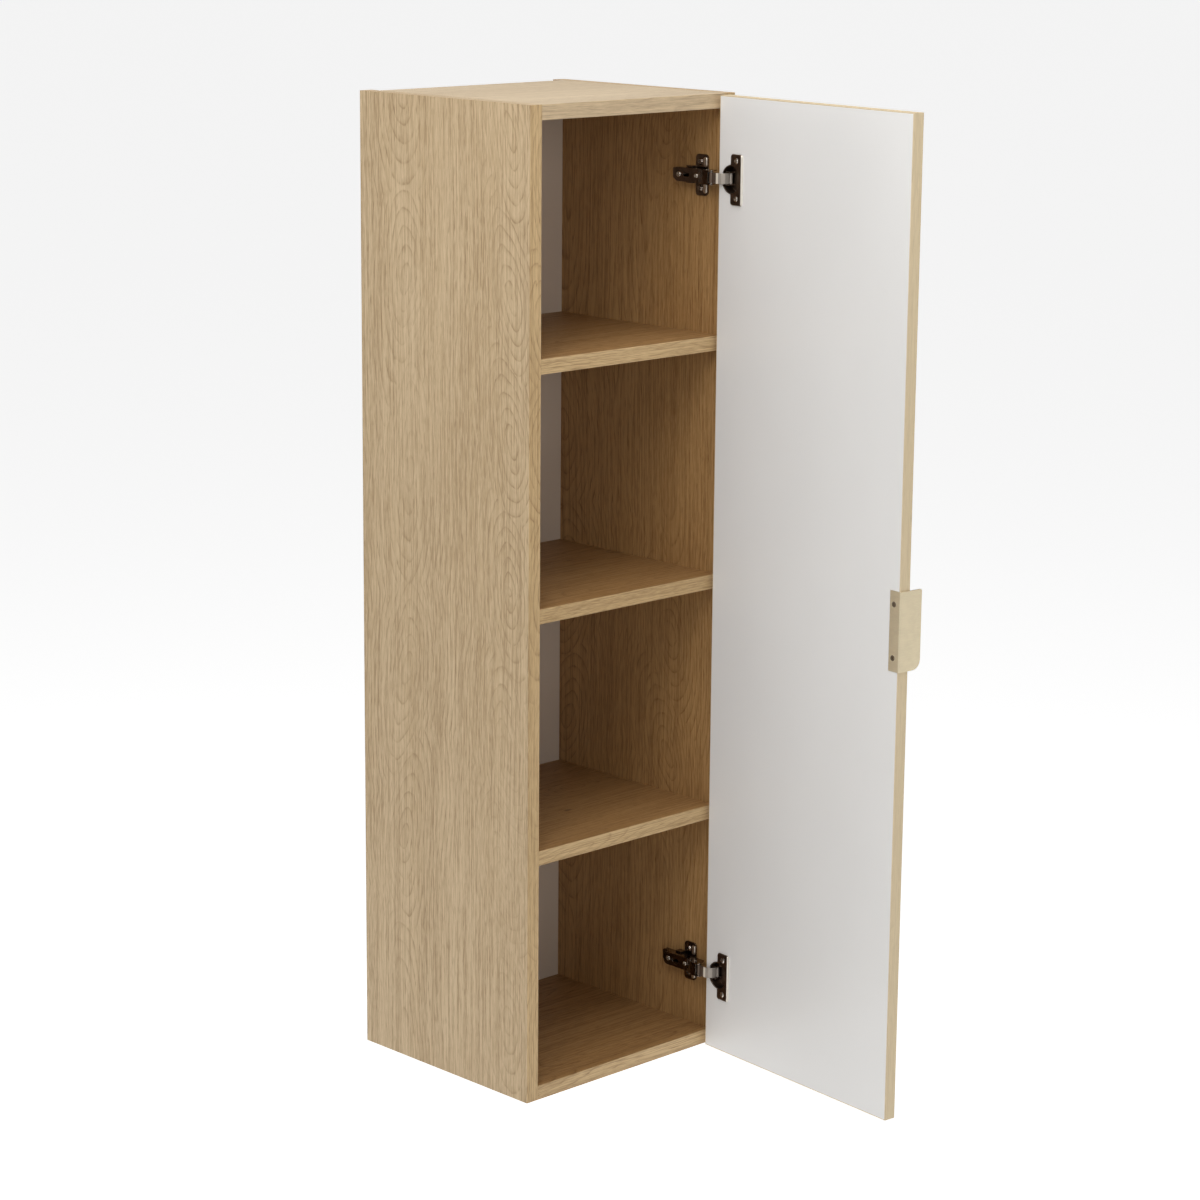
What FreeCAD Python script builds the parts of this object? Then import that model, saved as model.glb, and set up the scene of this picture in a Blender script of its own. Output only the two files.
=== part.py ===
import FreeCAD, Part
import math
import os

from FreeCAD import Placement, Rotation, Vector

# A tall hanging wall cabinet with one full-height door, shown with the door standing open.
# Millimetres. X runs across the cabinet to the right, Y runs back to the wall, Z is up.
# The origin lies on the wall plane, midway between the two upper wall-screw holes.

# ---- carcass ----
width = 335.0
depth = 300.0
height = 1200.0
board = 18.0                    # sides, top, bottom and shelves
back_board = 3.0
rail_board = 15.0
rail_height = 80.0
rail_inset = 20.0               # from the cabinet's top or bottom to the nearer rail edge
wall_hole_pitch = 200.0
wall_hole_radius = 3.0
back_hole_radius = 6.0          # clears the wall screw's head and washer
groove_depth = 5.5
groove_slack = 0.2
back_tongue = 5.0               # how far the back panel enters each side
shelf_first = 297.0             # underside of the lower shelf above the cabinet's bottom
shelf_pitch = 296.5
edge_round = 0.6                # softened edges of the laminated boards

# ---- knock-down fittings ----
fitting_inset = 40.0            # cam centre line to the front or rear edge of its board
cam_radius = 7.5
cam_height = 12.5
cam_reach = 34.0                # cam centre to the board's end
bolt_thread_radius = 2.5
bolt_thread = 10.5
bolt_shank_radius = 2.0
bolt_head_radius = 3.2
bolt_head = 3.0
bolt_bore_radius = 3.6
dowel_radius = 4.0
dowel_length = 30.0
dowel_in_side = 12.0
dowel_step = 32.0               # cam to its dowel
fit_gap = 0.1                   # radial slack of every plugged hole
drill_tip = 0.5                 # how much deeper a hole is than what it holds
touch = 0.01                    # tolerance for picking an edge by its place
cam_slot = (4.5, 0.7, 2.2)      # cross slot of a cam: half its span, half its width, its depth
cam_cavity_slack = 0.4
bolt_collar = 1.5
dome_top = 0.7                  # share of a screw head's radius left at its crown
rail_dowel_radius = 3.0
rail_dowel_length = 28.0
rail_dowel_in_side = 10.0
rail_dowel_pitch = 50.0
back_screw_radius = 1.5
back_screw_length = 22.0
back_screw_head_radius = 3.5
back_screw_head = 1.6
back_screw_pitch = 180.0

# ---- door ----
door_width = 329.0
door_height = 1197.0
door_board = 16.0
facing = 0.8                    # oak laminate on the door's front
edge_band = 1.0
open_angle = 85.0               # how far the door stands open as drawn
# Hinge-side corner of the door's inner face, from the cabinet's left front edge. Closed, the same
# corner lies at (332.0, -1.5): 3 mm in from the cabinet's side and 1.5 mm in front of its edges.
open_corner = (302.5, -6.5)

# ---- edge pull ----
pull_sheet = 1.6
pull_let_in = 1.0
pull_height = 96.0
pull_flange = 15.5
pull_reach = 34.5
pull_middle = 602.0             # above the cabinet's bottom
pull_corner = 12.0
pull_top_corner = 2.5
pull_bend = 1.4
pull_screw_pitch = 64.0
pull_screw_inset = 9.0          # from the door's free edge
pull_screw_radius = 1.75
pull_screw_head_radius = 3.4
pull_screw_length = 13.0
pull_screw_sink = 1.5
recess_reach = 2.0              # cross recess: half its span, half its slot and its depth
recess_slot = 0.45
recess_depth = 0.9
cup_recess = (1.8, 0.4)         # half the span and half the slot of the other screws' cross recesses
arm_recess = (1.9, 0.45)
plate_recess = (2.1, 0.5)

# ---- cup hinges, two alike ----
hinge_heights = {"upper": 1100.0, "lower": 100.0}
cup_radius = 17.5
cup_depth = 12.7
cup_wall = 1.1
cup_floor = 0.8
cup_setback = 6.0               # cup wall to the door's hinge edge
flange_sheet = 1.0              # round part of the flange, which passes in front of the side panel
bar_sheet = 2.4                 # upright bar of the flange, thicker and with a rolled rim
bar_rim = 1.9
flange_half_height = 30.5
flange_from = 22.5              # flange bar, from the door's hinge edge
flange_to = 43.0
flange_corner = 3.5
cup_screw_pitch = 45.0
cup_screw_offset = 9.5          # behind the cup's centre
cup_screw_radius = 1.75
cup_screw_head_radius = 3.6
cup_screw_length = 12.0
cup_screw_sink = 0.9            # how far the head's cone goes into the flange
cup_screw_dome = 0.8
carrier_pin = (12.6, 8.0)       # inner link's cup pin: from the hinge edge, below the inner face
guide_pin = (9.2, 5.4)          # outer link's cup pin, same measures
cup_pin_radius = 1.0
cup_pin_half = 8.2
lug_inner = 6.7
link_notch = 0.6                # depth of the notch in the cup's rim that the wide-open link swings into
link_notch_half = 7.2
inner_link_pivot = (297.6, 1.8)  # arm pins, from the cabinet's left front edge
outer_link_pivot = (302.0, 11.0)
arm_pin_radius = 1.25
arm_pin_half = 8.9
pin_slack = 0.05
link_eye = 1.0                  # wall of a link's rolled eye
inner_link_sheet = 1.4
inner_link_half = 6.3
outer_link_sheet = 1.2
outer_link_half = 3.6
# Plan paths of the bent links, between the pins that they start and end on.
inner_link_bends = ((296.3, -3.5), (296.2, -9.5), (297.7, -14.6), (301.0, -17.6), (305.4, -19.2))
outer_link_bends = ((304.3, 5.5), (302.6, 0.0), (299.9, -5.4), (299.2, -9.6))
arm_half = 8.5
arm_sheet = 1.2
arm_face = 301.2                # visible face of the arm, parallel to the side panel
arm_web = 1.3
arm_bend = 27.0                 # where the arm slopes out toward its nose, behind the front edge
arm_back = 68.0
arm_foot = 308.0                # edges of the arm's cheeks, next to the plate
arm_end_round = 6.0
arm_nose = ((294.6, 14.0), (294.6, 2.0), (295.8, -0.4), (298.2, -1.0), (300.4, 0.4), (311.0, 5.5),
            (311.0, 16.0))
arm_mouth = ((295.9, 14.0), (295.9, 5.0), (294.0, 5.0), (294.0, -3.0), (299.8, -3.0), (320.0, 4.8))
overlay_screw = (31.0, 3.0)     # behind the front edge, head radius
depth_screw = (60.5, 3.5)
arm_screw_radius = 2.0
arm_screw_head = 3.0
arm_screw_proud = 0.8
arm_slot = (42.0, 53.0, 2.2)    # from, to, half its width
plate_setback = 37.0            # plate screws behind the side panel's front edge
wing_front = 13.0               # wing's front edge ahead of its screws
wing_rear = 7.5
wing_half_height = 25.0
wing_round = 5.0
plate_screw_pitch = 32.0
plate_screw_radius = 2.5
plate_screw_length = 12.0
plate_screw_head_radius = 4.3
plate_screw_dome = 1.8
plate_sheet = 2.0
plate_rail = 6.5                # height of the plate's raised rail above the side panel
rail_front = 22.0               # rail's ends behind the front edge
rail_rear = 79.0
rail_half = 6.6
rail_round = 2.0
lug_place = (44.5, 54.5)        # clip lugs on the rail's two sides, behind the front edge
lug_reach = 10.6
lug_height = 8.4
rib_offset = 9.5                # middle of a wing's rib ahead of the plate screws
rib_half_width = 3.0
rib_half_height = 6.2
rib_middle = 15.8
rib_height = 2.0
rib_round = 1.2
spring_wire = 0.45
spring_radius = 2.3
spring_turns = 3
damper_radius = 2.5
damper_half = 5.6
damper_place = (36.2, 7.6)

half = width / 2.0
wall_hole_height = height - rail_inset - rail_height / 2.0
board_depth = depth - rail_board - back_board
shelf_names = ("lower", "middle", "upper")


def at(x, y, z):
    """A point measured from the left, front, bottom corner of the carcass."""
    return Vector(x - half, y - depth, z - wall_hole_height)


def block(x0, x1, y0, y1, z0, z1):
    return Part.makeBox(x1 - x0, y1 - y0, z1 - z0, at(x0, y0, z0))


def rod(x, y, z, radius, length, direction):
    return Part.makeCylinder(radius, length, at(x, y, z), Vector(*direction))


def cone(x, y, z, start_radius, end_radius, length, direction):
    return Part.makeCone(start_radius, end_radius, length, at(x, y, z), Vector(*direction))


def prism(points, z0, z1):
    """Upright prism over a closed outline in plan."""
    corners = [at(x, y, z0) for x, y in points]
    face = Part.Face(Part.makePolygon(corners + corners[:1]))
    return face.extrude(Vector(0, 0, z1 - z0))


def ribbon(points, thickness, z0, z1):
    """Sheet metal bent along a path in plan."""
    wire = Part.makePolygon([at(x, y, z0) for x, y in points])
    face = Part.Face(wire.makeOffset2D(thickness / 2.0, 0, False, False))
    return face.extrude(Vector(0, 0, z1 - z0))


def fuse(shapes):
    return shapes[0].fuse(shapes[1:]).removeSplitter()


def soften(shape, radius, keep):
    """Rounds the straight edges that keep() picks by their middle point."""
    edges = [e for e in shape.Edges if isinstance(e.Curve, Part.Line) and keep(e)]
    return shape.makeFillet(radius, edges)


def along(edge, axis):
    ends = edge.Vertexes
    run = ends[-1].Point.sub(ends[0].Point)
    return abs(run.dot(axis)) > 0.999 * run.Length


# ---- carcass boards and their fittings ----

def level_boards():
    """Underside height of every board that lies between the sides."""
    levels = {"bottom_panel": 0.0, "top_panel": height - board}
    for index, name in enumerate(shelf_names):
        levels["shelf_" + name] = shelf_first + index * shelf_pitch
    return levels


def ends():
    """The two ends of a level board: its face on the side panel and the way out of it."""
    return ((board, -1.0), (width - board, 1.0))


def fitting_rows():
    """Y of the cams and, beside each, the Y of its dowel."""
    front = fitting_inset
    rear = board_depth - fitting_inset
    return ((front, front + dowel_step), (rear, rear - dowel_step))


def cam_bores(z):
    tools = []
    for end, out in ends():
        for cam_y, dowel_y in fitting_rows():
            cam_x = end - out * cam_reach
            tools.append(rod(cam_x, cam_y, z - 1.0, cam_radius + fit_gap, cam_height + 1.8, (0, 0, 1)))
            tools.append(rod(end, cam_y, z + board / 2, bolt_bore_radius, cam_reach, (-out, 0, 0)))
            reach = dowel_length - dowel_in_side + 2 * drill_tip
            tools.append(rod(end, dowel_y, z + board / 2, dowel_radius + fit_gap, reach, (-out, 0, 0)))
    return tools


def level_board(z):
    body = block(board, width - board, 0, board_depth, z, z + board)
    lengthwise = Vector(1, 0, 0)
    front = -depth + touch
    body = soften(body, edge_round, lambda e: along(e, lengthwise) and e.CenterOfMass.y < front)
    screws = [rod(x, board_depth, z + board / 2, back_screw_radius + fit_gap, back_screw_length, (0, -1, 0))
              for x in back_screw_places()]
    return body.cut(cam_bores(z) + screws)


def cam_lock(x, y, z, out):
    """A cam in its bore, open toward the bolt's head, with a cross slot in its visible face."""
    body = rod(x, y, z, cam_radius, cam_height, (0, 0, 1))
    middle = z + board / 2
    channel = rod(x, y, middle, bolt_bore_radius, cam_radius + 1, (out, 0, 0))
    pocket = Part.makeSphere(bolt_bore_radius + cam_cavity_slack, at(x, y, middle))
    reach, slot, deep = cam_slot
    bars = [block(x - reach, x + reach, y - slot, y + slot, z - 1, z + deep),
            block(x - slot, x + slot, y - reach, y + reach, z - 1, z + deep)]
    return body.cut([channel, pocket] + bars)


def cam_bolt(end, y, z, out):
    """A bolt with its thread in the side panel and its head inside the cam."""
    thread = rod(end, y, z, bolt_thread_radius, bolt_thread, (out, 0, 0))
    reach = cam_reach - bolt_head / 2
    shank = rod(end, y, z, bolt_shank_radius, reach, (-out, 0, 0))
    head = rod(end - out * (cam_reach - bolt_head), y, z, bolt_head_radius, bolt_head, (-out, 0, 0))
    collar = rod(end, y, z, bolt_head_radius, bolt_collar, (-out, 0, 0))
    return fuse([thread, shank, head, collar])


def dowel(end, y, z, out):
    start = end + out * dowel_in_side
    body = rod(start, y, z, dowel_radius, dowel_length, (-out, 0, 0))
    rims = [e for e in body.Edges if isinstance(e.Curve, Part.Circle)]
    return body.makeChamfer(0.8, rims)


def fittings():
    cams = []
    bolts = []
    dowels = []
    for z in level_boards().values():
        for end, out in ends():
            for cam_y, dowel_y in fitting_rows():
                cams.append(cam_lock(end - out * cam_reach, cam_y, z, out))
                bolts.append(cam_bolt(end, cam_y, z + board / 2, out))
                dowels.append(dowel(end, dowel_y, z + board / 2, out))
    return cams, bolts, dowels


def rails():
    """Underside height of the two hanging rails behind the back panel."""
    return {"lower": rail_inset, "upper": height - rail_inset - rail_height}


def rail_dowel_heights(z):
    middle = z + rail_height / 2
    return (middle - rail_dowel_pitch / 2, middle + rail_dowel_pitch / 2)


def side_panel(x0, inner_face, inward):
    body = block(x0, x0 + board, 0, depth, 0, height)
    body = soften(body, edge_round, lambda e: e.CenterOfMass.y < -depth + touch)
    inside = inner_face - inward * groove_depth
    low, high = sorted((inner_face + inward, inside))
    tools = [block(low, high, board_depth, board_depth + back_board + groove_slack, -1, height + 1)]
    out = (-inward, 0, 0)
    for z in level_boards().values():
        for cam_y, dowel_y in fitting_rows():
            middle = z + board / 2
            tools.append(rod(inner_face, cam_y, middle, bolt_thread_radius + fit_gap,
                             bolt_thread + drill_tip, out))
            tools.append(rod(inner_face, dowel_y, middle, dowel_radius + fit_gap,
                             dowel_in_side + drill_tip, out))
    rail_y = depth - rail_board / 2
    for z in rails().values():
        for dowel_z in rail_dowel_heights(z):
            hole = rail_dowel_in_side + drill_tip
            tools.append(rod(inner_face, rail_y, dowel_z, rail_dowel_radius + fit_gap, hole, out))
    if inward < 0:
        for hinge_z in hinge_heights.values():
            for offset in (-plate_screw_pitch / 2, plate_screw_pitch / 2):
                hole = plate_screw_length + drill_tip
                hole_radius = plate_screw_radius + fit_gap
                tools.append(rod(inner_face, plate_setback, hinge_z + offset, hole_radius, hole, out))
    return body.cut(tools)


def wall_hole_places():
    return (half - wall_hole_pitch / 2, half + wall_hole_pitch / 2)


def back_screw_places():
    return (half - back_screw_pitch / 2, half + back_screw_pitch / 2)


def back_panel():
    y0 = board_depth
    body = block(board - back_tongue, width - board + back_tongue, y0, y0 + back_board, 0, height)
    tools = []
    for z in rails().values():
        for x in wall_hole_places():
            tools.append(rod(x, y0 - 1, z + rail_height / 2, back_hole_radius, back_board + 2, (0, 1, 0)))
    for z in level_boards().values():
        for x in back_screw_places():
            bore = back_screw_radius + fit_gap
            tools.append(rod(x, y0 - 1, z + board / 2, bore, back_board + 2, (0, 1, 0)))
    return body.cut(tools)


def hanging_rail(z):
    slack = 0.1
    body = block(board + slack, width - board - slack, depth - rail_board, depth, z, z + rail_height)
    tools = [rod(x, depth - rail_board - 1, z + rail_height / 2, wall_hole_radius, rail_board + 2, (0, 1, 0))
             for x in wall_hole_places()]
    for end, out in ends():
        for dowel_z in rail_dowel_heights(z):
            hole = rail_dowel_length - rail_dowel_in_side + 2 * drill_tip
            hole_radius = rail_dowel_radius + fit_gap
            tools.append(rod(end, depth - rail_board / 2, dowel_z, hole_radius, hole, (-out, 0, 0)))
    return body.cut(tools)


def rail_dowels():
    solids = []
    for z in rails().values():
        for end, out in ends():
            for dowel_z in rail_dowel_heights(z):
                start = end + out * rail_dowel_in_side
                y = depth - rail_board / 2
                solids.append(rod(start, y, dowel_z, rail_dowel_radius, rail_dowel_length, (-out, 0, 0)))
    return solids


def back_screws():
    """Pan-head screws through the back panel into the level boards."""
    solids = []
    rear = board_depth + back_board
    for z in level_boards().values():
        for x in back_screw_places():
            shank = rod(x, rear, z + board / 2, back_screw_radius, back_screw_length, (0, -1, 0))
            head = cone(x, rear, z + board / 2, back_screw_head_radius, 2.2, back_screw_head, (0, 1, 0))
            solids.append(fuse([shank, head]))
    return solids


# ---- the door, built lying along its own width, then swung open ----

def door_place():
    """Takes (from hinge edge, depth below the inner face, height) to the open door."""
    spin = Rotation(Vector(0, 0, 1), open_angle)
    corner = at(open_corner[0], open_corner[1], 0)
    return Placement(corner, spin)


def swing(shape):
    """Moves a shape drawn for the closed door, hinge edge at X 0 and inner face at Y 0."""
    moved = shape.copy()
    moved.Placement = door_place().multiply(moved.Placement)
    return moved


def leaf_block(u0, u1, d0, d1, z0, z1):
    return Part.makeBox(u1 - u0, d1 - d0, z1 - z0, Vector(-u1, -d1, z0))


def leaf_rod(u, d, z, radius, length, direction):
    return Part.makeCylinder(radius, length, Vector(-u, -d, z), Vector(*direction))


def leaf_cone(u, d, z, start_radius, end_radius, length):
    return Part.makeCone(start_radius, end_radius, length, Vector(-u, -d, z), Vector(0, -1, 0))


def door_bottom():
    return (height - door_height) / 2


def pull_screw_heights():
    return (pull_middle - pull_screw_pitch / 2, pull_middle + pull_screw_pitch / 2)


def cup_centre():
    return cup_setback + cup_radius


def door_panel():
    z0 = door_bottom() + edge_band
    z1 = door_bottom() + door_height - edge_band
    body = leaf_block(edge_band, door_width - edge_band, 0, door_board - facing, z0, z1)
    tools = []
    screw_u = cup_centre() + cup_screw_offset
    for z in hinge_heights.values():
        bore_depth = cup_depth + 1.1
        tools.append(leaf_rod(cup_centre(), -1, z, cup_radius + fit_gap, bore_depth, (0, -1, 0)))
        for side in (-1, 1):
            screw_z = z + side * cup_screw_pitch / 2
            bore = cup_screw_radius + fit_gap
            tools.append(leaf_rod(screw_u, -1, screw_z, bore, cup_screw_length + 1.5, (0, -1, 0)))
    tools.append(pull_pocket())
    for z in pull_screw_heights():
        bore = pull_screw_radius + fit_gap
        screw_u = door_width - pull_screw_inset
        tools.append(leaf_rod(screw_u, -1, z, bore, pull_screw_length + 1.5, (0, -1, 0)))
    return swing(body.cut(tools))


def pull_pocket():
    """The shallow recess that lets the pull's flange into the door's inner face."""
    z0 = pull_middle - pull_height / 2 - fit_gap
    z1 = pull_middle + pull_height / 2 + fit_gap
    return leaf_block(door_width - pull_flange - fit_gap, door_width + 5, -1, pull_let_in, z0, z1)


def door_facing():
    z0 = door_bottom() + edge_band
    z1 = door_bottom() + door_height - edge_band
    return swing(leaf_block(edge_band, door_width - edge_band, door_board - facing, door_board, z0, z1))


def door_edge_bands():
    """Thin strips round the door: two stiles at full height and two rails between them."""
    z0 = door_bottom()
    z1 = z0 + door_height
    outer = door_width
    up = Vector(0, 0, 1)
    stiles = []
    for u0, u1 in ((0, edge_band), (outer - edge_band, outer)):
        strip = leaf_block(u0, u1, 0, door_board, z0, z1)
        rim = 0.5 * edge_band
        outside = -u0 if u0 == 0 else -u1
        strip = soften(strip, rim, lambda e: along(e, up) and abs(e.CenterOfMass.x - outside) < touch)
        stiles.append(strip)
    stiles[1] = stiles[1].cut(pull_pocket())
    bands = [leaf_block(edge_band, outer - edge_band, 0, door_board, low, low + edge_band)
             for low in (z0, z1 - edge_band)]
    return [swing(strip) for strip in stiles + bands]


def edge_pull():
    """Folded sheet: a flange let into the inner face and a tab past the free edge and the front."""
    z0 = pull_middle - pull_height / 2
    z1 = pull_middle + pull_height / 2
    top = pull_let_in - pull_sheet
    edge = door_width
    flange = leaf_block(edge - pull_flange, edge + pull_sheet, top, pull_let_in, z0, z1)
    tab = leaf_block(edge, edge + pull_sheet, top, top + pull_reach, z0, z1)
    body = fuse([flange, tab])
    up = Vector(0, 0, 1)
    across = Vector(1, 0, 0)
    fold = edge + pull_sheet
    body = soften(body, pull_bend, lambda e: along(e, up) and abs(e.CenterOfMass.x + fold) < touch
                  and abs(e.CenterOfMass.y + top) < touch)
    far = -(top + pull_reach)
    lower = [e for e in body.Edges if along(e, across) and abs(e.CenterOfMass.y - far) < touch
             and abs(e.CenterOfMass.z - z0) < touch]
    body = body.makeFillet(pull_corner, lower)
    upper = [e for e in body.Edges if along(e, across) and abs(e.CenterOfMass.y - far) < touch
             and abs(e.CenterOfMass.z - z1) < touch]
    body = body.makeFillet(pull_top_corner, upper)
    tools = []
    for z in pull_screw_heights():
        u = edge - pull_screw_inset
        tools.append(leaf_rod(u, top - 1, z, pull_screw_radius + fit_gap, 5, (0, -1, 0)))
        tools.append(leaf_cone(u, top, z, pull_screw_head_radius + fit_gap, pull_screw_radius + fit_gap,
                               pull_screw_sink))
    return swing(body.cut(tools))


def countersunk_screw(u, d, z, head_radius, shank_radius, length, sink):
    """A flat-head screw driven into the door's inner face, with a cross recess."""
    head = leaf_cone(u, d, z, head_radius, shank_radius, sink)
    shank = leaf_rod(u, d, z, shank_radius, length, (0, -1, 0))
    recess = []
    for wide, tall in ((recess_reach, recess_slot), (recess_slot, recess_reach)):
        recess.append(leaf_block(u - wide, u + wide, d - 1, d + recess_depth, z - tall, z + tall))
    return fuse([head, shank]).cut(recess)


def pull_screws():
    top = pull_let_in - pull_sheet
    return [swing(countersunk_screw(door_width - pull_screw_inset, top, z, pull_screw_head_radius,
                                    pull_screw_radius, pull_screw_length, pull_screw_sink))
            for z in pull_screw_heights()]


# ---- cup side of a hinge ----

def flange_outline(z):
    """What shows on the door: a disc round the cup and an upright bar with rounded corners and rim."""
    disc = leaf_rod(cup_centre(), 0, z, cup_radius, flange_sheet, (0, 1, 0))
    bar = leaf_block(flange_from, flange_to, -bar_sheet, 0, z - flange_half_height, z + flange_half_height)
    through = Vector(0, 1, 0)
    bar = soften(bar, flange_corner, lambda e: along(e, through))
    rim = [e for e in bar.Edges if abs(e.CenterOfMass.y - bar_sheet) < touch
           and e.CenterOfMass.x < -flange_from - touch]
    return disc.fuse(bar.makeFillet(bar_rim, rim))


def hinge_cup(z):
    u = cup_centre()
    shell = leaf_rod(u, -flange_sheet, z, cup_radius, cup_depth + flange_sheet, (0, -1, 0))
    above = bar_sheet + 1
    hollow = leaf_rod(u, -above, z, cup_radius - cup_wall, cup_depth - cup_floor + above, (0, -1, 0))
    body = shell.fuse(flange_outline(z)).cut(hollow)
    barrel = leaf_rod(u, 0, z, cup_radius - cup_wall / 2, cup_depth, (0, -1, 0))
    lugs = []
    for side in (-1, 1):
        low, high = sorted((side * lug_inner, side * (cup_pin_half + 0.2)))
        lug = leaf_block(cup_setback + 1, carrier_pin[0] + 2.2, guide_pin[1] - 2.6, cup_depth - cup_floor / 2,
                         z + low, z + high)
        lugs.append(lug.common(barrel))
    body = body.fuse(lugs)
    holes = [leaf_rod(pin[0], pin[1], z - cup_pin_half, cup_pin_radius + 0.02, 2 * cup_pin_half, (0, 0, 1))
             for pin in (carrier_pin, guide_pin)]
    holes.append(leaf_block(0, cup_setback + 3, -2, link_notch, z - link_notch_half, z + link_notch_half))
    screw_u = u + cup_screw_offset
    for side in (-1, 1):
        screw_z = z + side * cup_screw_pitch / 2
        holes.append(leaf_rod(screw_u, -above, screw_z, cup_screw_radius + fit_gap, above + 3, (0, -1, 0)))
        holes.append(leaf_cone(screw_u, -bar_sheet, screw_z, cup_screw_head_radius, cup_screw_radius,
                               cup_screw_sink))
    return swing(body.cut(holes).removeSplitter())


def cup_pins(z):
    return [swing(leaf_rod(pin[0], pin[1], z - cup_pin_half, cup_pin_radius, 2 * cup_pin_half, (0, 0, 1)))
            for pin in (carrier_pin, guide_pin)]


def cup_screws(z):
    """Pan heads standing on the flange, with their threads in the door."""
    u = cup_centre() + cup_screw_offset
    solids = []
    for side in (-1, 1):
        screw_z = z + side * cup_screw_pitch / 2
        rim = cup_screw_head_radius - fit_gap
        shank = leaf_rod(u, -bar_sheet, screw_z, cup_screw_radius, cup_screw_length, (0, -1, 0))
        head = leaf_cone(u, -bar_sheet, screw_z, rim, cup_screw_radius, cup_screw_sink)
        crown = dome_top * rim
        dome = Part.makeCone(rim, crown, cup_screw_dome, Vector(-u, bar_sheet, screw_z), Vector(0, 1, 0))
        body = fuse([shank, head, dome])
        recess = [leaf_block(u - wide, u + wide, -bar_sheet - 2, -bar_sheet + 0.4, screw_z - tall,
                             screw_z + tall) for wide, tall in (cup_recess, cup_recess[::-1])]
        solids.append(swing(body.cut(recess)))
    return solids


def damper(z):
    """The small soft-close cylinder that lies across the far side of the cup."""
    u, d = damper_place
    tube = leaf_rod(u, d, z - damper_half, damper_radius, 2 * damper_half, (0, 0, 1))
    foot = leaf_block(u - 1.5, u + 1.5, d, cup_depth - cup_floor, z - damper_half + 1, z + damper_half - 1)
    rims = [e for e in tube.Edges if isinstance(e.Curve, Part.Circle)]
    return swing(fuse([tube.makeChamfer(0.5, rims), foot]))


# ---- arm side of a hinge ----

def leaf_point(u, d):
    """Plan position, from the cabinet's left front edge, of a point on the open door."""
    turn = math.radians(open_angle)
    x = open_corner[0] - u * math.cos(turn) + d * math.sin(turn)
    y = open_corner[1] - u * math.sin(turn) - d * math.cos(turn)
    return (x, y)


def link(path, sheet, half_width, z, bores):
    """A goose-neck link: a bent strip with a rolled eye round each pin."""
    shapes = [ribbon(path, sheet, z - half_width, z + half_width)]
    holes = []
    for (x, y), radius in bores:
        bore = radius + pin_slack
        shapes.append(rod(x, y, z - half_width, bore + link_eye, 2 * half_width, (0, 0, 1)))
        holes.append(rod(x, y, z - half_width - 1, bore, 2 * half_width + 2, (0, 0, 1)))
    return fuse(shapes).cut(holes)


def inner_link(z):
    """The long bright link: from the arm's front pin, round the door's edge, to the cup's inner pin."""
    start = inner_link_pivot
    end = leaf_point(*carrier_pin)
    path = [start, *inner_link_bends, end]
    return link(path, inner_link_sheet, inner_link_half, z, [(start, arm_pin_radius), (end, cup_pin_radius)])


def outer_link(z):
    """The short link under it. Its cup end stops short of the guide pin, where the linkage is open."""
    path = [outer_link_pivot, *outer_link_bends]
    return link(path, outer_link_sheet, outer_link_half, z, [(outer_link_pivot, arm_pin_radius)])


def hinge_arm(z):
    """A steel channel, open toward the side panel, that carries both arm pins at its nose."""
    outer = [(arm_foot, arm_bend - 1), (arm_foot, arm_back), (arm_face, arm_back), (arm_face, arm_bend)]
    outer.extend(arm_nose)
    hollow_face = arm_face + arm_web
    hollow_back = arm_back - arm_web
    inner = [(320.0, hollow_back), (hollow_face, hollow_back), (hollow_face, arm_bend)]
    inner.extend(arm_mouth)
    cheek = arm_half - arm_sheet
    body = prism(outer, z - arm_half, z + arm_half).cut(prism(inner, z - cheek, z + cheek))
    across = Vector(1, 0, 0)
    envelope = block(arm_face - 20, arm_face + 20, -10, arm_back, z - arm_half, z + arm_half)
    rear = arm_back - depth
    envelope = soften(envelope, arm_end_round,
                      lambda e: along(e, across) and abs(e.CenterOfMass.y - rear) < touch)
    holes = []
    for x, y in (inner_link_pivot, outer_link_pivot):
        holes.append(rod(x, y, z - arm_half - 1, arm_pin_radius + 0.02, 2 * arm_half + 2, (0, 0, 1)))
    for y, radius in (overlay_screw, depth_screw):
        holes.append(rod(arm_face - 1, y, z, radius + fit_gap, 4.0, (1, 0, 0)))
    start, finish, slot_half = arm_slot
    slot = block(arm_face - 1, hollow_face + 1, start, finish, z - slot_half, z + slot_half)
    holes.append(soften(slot, 0.95 * slot_half, lambda e: along(e, across)))
    return body.common(envelope).cut(holes)


def arm_pins(z):
    return [rod(x, y, z - arm_pin_half, arm_pin_radius, 2 * arm_pin_half, (0, 0, 1))
            for x, y in (inner_link_pivot, outer_link_pivot)]


def arm_screws(z):
    """The overlay screw and the depth cam screw, both reached from inside the cabinet."""
    solids = []
    top = arm_face - arm_screw_proud
    plate_top = width - board - plate_rail
    for y, radius in (overlay_screw, depth_screw):
        head = rod(top, y, z, radius, arm_screw_head, (1, 0, 0))
        head = head.makeChamfer(0.4, [e for e in head.Edges if abs(e.CenterOfMass.x - (top - half)) < touch])
        shank = rod(top + 1, y, z, arm_screw_radius, plate_top - top - 1, (1, 0, 0))
        recess = [block(top - 1, top + 1.2, y - wide, y + wide, z - tall, z + tall)
                  for wide, tall in (arm_recess, arm_recess[::-1])]
        solids.append(fuse([head, shank]).cut(recess))
    return solids


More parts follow.
